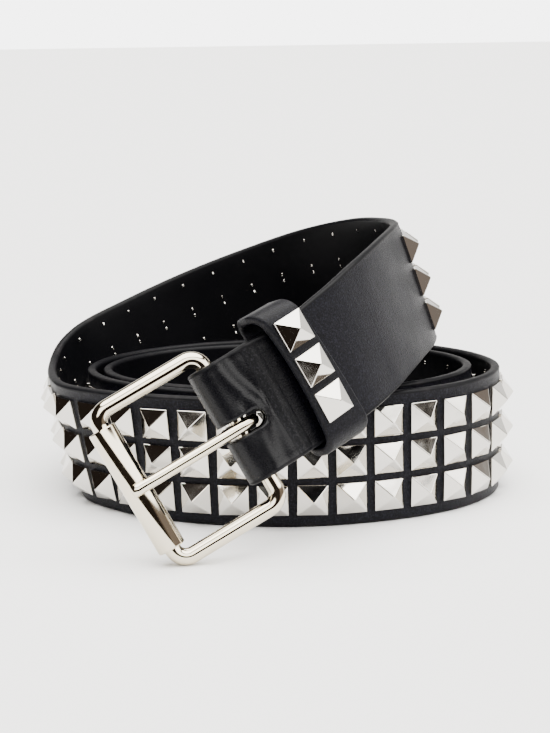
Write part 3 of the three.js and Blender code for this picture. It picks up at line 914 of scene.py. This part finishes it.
def keeper_piece():
    thick, r = KEEPER_THICKNESS, 0.0007
    share = r / (KEEPER_WIDTH / 2)
    section = []
    corners = [(1 - share, thick - r, 90), (1 - share, r, 0), (share - 1, r, -90),
               (share - 1, thick - r, -180)]
    for middle, deep, start in corners:
        for angle in np.linspace(start, start - 90, 6):
            a = math.radians(angle)
            section.append((middle + share * math.cos(a), deep + r * math.sin(a)))
    foot, top = keeper_sides()
    rings = []
    for across, out, side, face in keeper_line():
        ring = []
        middle = (2 * across - top - foot) / (top - foot)
        for along, deep in section:
            v, w = across + side * deep, out + face * deep
            hollow = KEEPER_EDGE_BOW * (1 - middle**2) * smooth(-along, 0.2, 1) * (out > 0)
            ring.append(route.beside(keeper_length(along, v, w) + hollow, v, w))
        rings.append(np.array(ring))
    keeper = mesh_object("keeper_loop", np.vstack(rings), loft(rings, True), (keeper_leather,))
    return point_outwards(keeper)


# Buckle


def wire_rings(line, radius, sides=28):
    """Rings round a line drawn in a plane: each place has its heading, and the wire may be flattened."""
    rings = []
    for (x, y), (hx, hy), flat in line:
        ring = []
        for k in range(sides):
            a = 2 * math.pi * k / sides
            side, high = radius * math.cos(a), radius * math.sin(a)
            ring.append((x - hy * side * flat[0], y + hx * side * flat[0], high * flat[1]))
        rings.append(np.array(ring))
    return rings


def frame_piece():
    r = FRAME_CORNER_RADIUS
    line = []
    corners = [(-r, -HALF_SPAN + r, -90), (-r, HALF_SPAN - r, 0),
               (-BAR_TO_ROLLER + r, HALF_SPAN - r, 90), (-BAR_TO_ROLLER + r, -HALF_SPAN + r, 180)]
    for cx, cy, start in corners:
        for angle in np.linspace(start, start + 90, 14):
            a = math.radians(angle)
            line.append(((cx + r * math.cos(a), cy + r * math.sin(a)), (-math.sin(a), math.cos(a)), (1, 1)))
    rings = [route.from_buckle(ring) for ring in wire_rings(line, WIRE_RADIUS)]
    return point_outwards(mesh_object("buckle_wire", np.vstack(rings), loft(rings, True), (buckle_nickel,)))


def roller_piece():
    inner, outer = WIRE_RADIUS + ROLLER_CLEARANCE, ROLLER_RADIUS
    half, lip = HALF_SPAN - FRAME_CORNER_RADIUS - SEAT_GAP, 0.00035
    near = lip * 0.3
    profile = [(inner, -half + lip), (inner + lip, -half), (outer - lip, -half), (outer - near, -half + near),
               (outer, -half + lip), (outer, half - lip), (outer - near, half - near), (outer - lip, half),
               (inner + lip, half), (inner, half - lip)]
    rings = []
    for k in range(64):
        a = 2 * math.pi * k / 64
        ring = [(-BAR_TO_ROLLER + rad * math.cos(a), v, rad * math.sin(a)) for rad, v in profile]
        rings.append(route.from_buckle(ring))
    roller = mesh_object("roller_tube", np.vstack(rings), loft(rings, True), (buckle_nickel,))
    return point_outwards(roller)


def prong_piece():
    curl = WIRE_RADIUS + PRONG_CLEARANCE + PRONG_RADIUS
    rest = ROLLER_RADIUS + SEAT_GAP + PRONG_RADIUS
    slope = math.atan2(rest - curl, BAR_TO_ROLLER)
    tip = -BAR_TO_ROLLER - PRONG_PAST_ROLLER
    line = []
    for share in np.linspace(0, 1, 40):
        a = math.pi / 2 - slope - CURL_SWEEP * (1 - share)
        line.append(((curl * math.cos(a), curl * math.sin(a)), (-math.sin(a), math.cos(a)), (1, 1)))
    (x, z), heading, _ = line[-1]
    reach = x - tip
    for share in np.linspace(0, 1, 24)[1:]:
        flat = smooth(share, 0.80, 0.97)
        place = (x + heading[0] * reach * share, z + heading[1] * reach * share - 0.00012 * flat)
        line.append((place, heading, (1 - 0.14 * flat, 1 + 0.04 * flat)))
    (x, z), heading, flat = line[-1]
    line.append(((x + heading[0] * 0.0002, z + heading[1] * 0.0002), heading, (flat[0] * 0.8, flat[1] * 0.8)))
    rings = [ring[:, [0, 2, 1]] * (1, -1, 1) for ring in wire_rings(line, PRONG_RADIUS, 24)]
    rings = [route.from_buckle(ring) for ring in rings]
    return point_outwards(mesh_object("prong_pin", np.vstack(rings), loft(rings, False), (buckle_nickel,)))


# Camera, floor and light


def photo_camera():
    down, roll = math.radians(CAMERA_DOWN), math.radians(CAMERA_ROLL)
    forward = Vector((0, math.cos(down), -math.sin(down)))
    up = Vector((0, math.sin(down), math.cos(down)))
    right = Vector((1, 0, 0))
    right, up = right * math.cos(roll) + up * math.sin(roll), up * math.cos(roll) - right * math.sin(roll)
    camera = bpy.data.objects.new("photo camera", bpy.data.cameras.new("photo camera"))
    bpy.context.scene.collection.objects.link(camera)
    camera.data.lens = CAMERA_LENS
    camera.data.clip_start = 0.02
    turned = Matrix((right, up, -forward)).transposed().to_4x4()
    camera.matrix_world = Matrix.Translation(Vector(CAMERA_PLACE) + Vector(route.shift)) @ turned
    bpy.context.scene.camera = camera


def studio():
    """A white table under a large overhead light: a bright panel in front, a pale wall behind, dark at the left."""
    it = Finish("pale table", Roughness=0.9, Specular_IOR_Level=0.05)
    it.shader.inputs["Base Color"].default_value = (0.92, 0.92, 0.925, 1)
    corners = [(-8, TABLE_FRONT, 0), (8, TABLE_FRONT, 0), (8, 14, 0), (-8, 14, 0)]
    mesh_object("table", corners, [(0, 1, 2, 3)], (it.material,), shade_smooth=False)
    world = bpy.data.worlds.new("studio")
    bpy.context.scene.world = world
    world.use_nodes = True
    it = Maker(world.node_tree)
    way = it.node("ShaderNodeTexCoord", {}, {}, "Generated")
    right = it.node("ShaderNodeSeparateXYZ", {}, {0: way}, 0)
    back = it.node("ShaderNodeSeparateXYZ", {}, {0: way}, 1)
    up = it.node("ShaderNodeSeparateXYZ", {}, {0: way}, 2)
    overhead = it.band(up, 0.78, 0.84)
    rising = it.band(up, 0.30, 0.38) * (1 - it.band(up, 0.68, 0.74))
    panel = rising * (1 - it.band(back, 0.10, 0.30)) * it.band(right, -0.60, -0.35)
    wall = it.band(back, 0.30, 0.50) * (1 - it.band(up, 0.30, 0.50)) * it.band(right, -0.62, -0.48)
    side = it.band(right, 0.55, 0.80) * (1 - it.band(up, 0.60, 0.75))
    glow = overhead * OVERHEAD_LIGHT + panel * PANEL_LIGHT + wall * WALL_LIGHT + side * SIDE_LIGHT + DARK_LIGHT
    seen = it.node("ShaderNodeLightPath", {}, {}, "Is Camera Ray")
    tinted = it.mix(it.band(glow, 0.0, 0.8), (0.85, 0.62, 0.48, 1), (1.0, 0.985, 0.95, 1))
    shown = it.mix(seen, tinted, (1, 1, 1, 1))
    power = glow * (1 - seen) + seen * SEEN_LIGHT
    shine = world.node_tree.nodes["Background"]
    world.node_tree.links.new(shown.link, shine.inputs["Color"])
    world.node_tree.links.new(power.link, shine.inputs["Strength"])


photo_camera()
studio()

strap = strap_piece()
stud, clinch = stud_shape(), clinch_shape()
studs = seat_copies("stud_field", stud_seats(), stud, stud_nickel, 0.02, 0.025, 5)
clinches = seat_copies("clinched_ends", clinch_seats(), clinch, stud_nickel, 0.35, 0.2, 9)
keeper = keeper_piece()
keeper_studs = seat_copies("keeper_studs", keeper_stud_seats(), stud, stud_nickel, 0.015, 0.03, 3)
discard(stud, clinch)
buckle_wire = frame_piece()
roller = roller_piece()
prong = prong_piece()

for piece in (strap, studs, clinches):
    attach(piece, "belt")
    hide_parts("studded_strap")
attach(keeper, "belt")
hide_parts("keeper")
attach(keeper_studs, "belt")
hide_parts("keeper_stud_1", "keeper_stud_2", "keeper_stud_3")
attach(buckle_wire, "buckle")
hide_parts("buckle_frame")
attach(roller, "roller")
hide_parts("buckle_roller")
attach(prong, "prong")
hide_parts("prong")
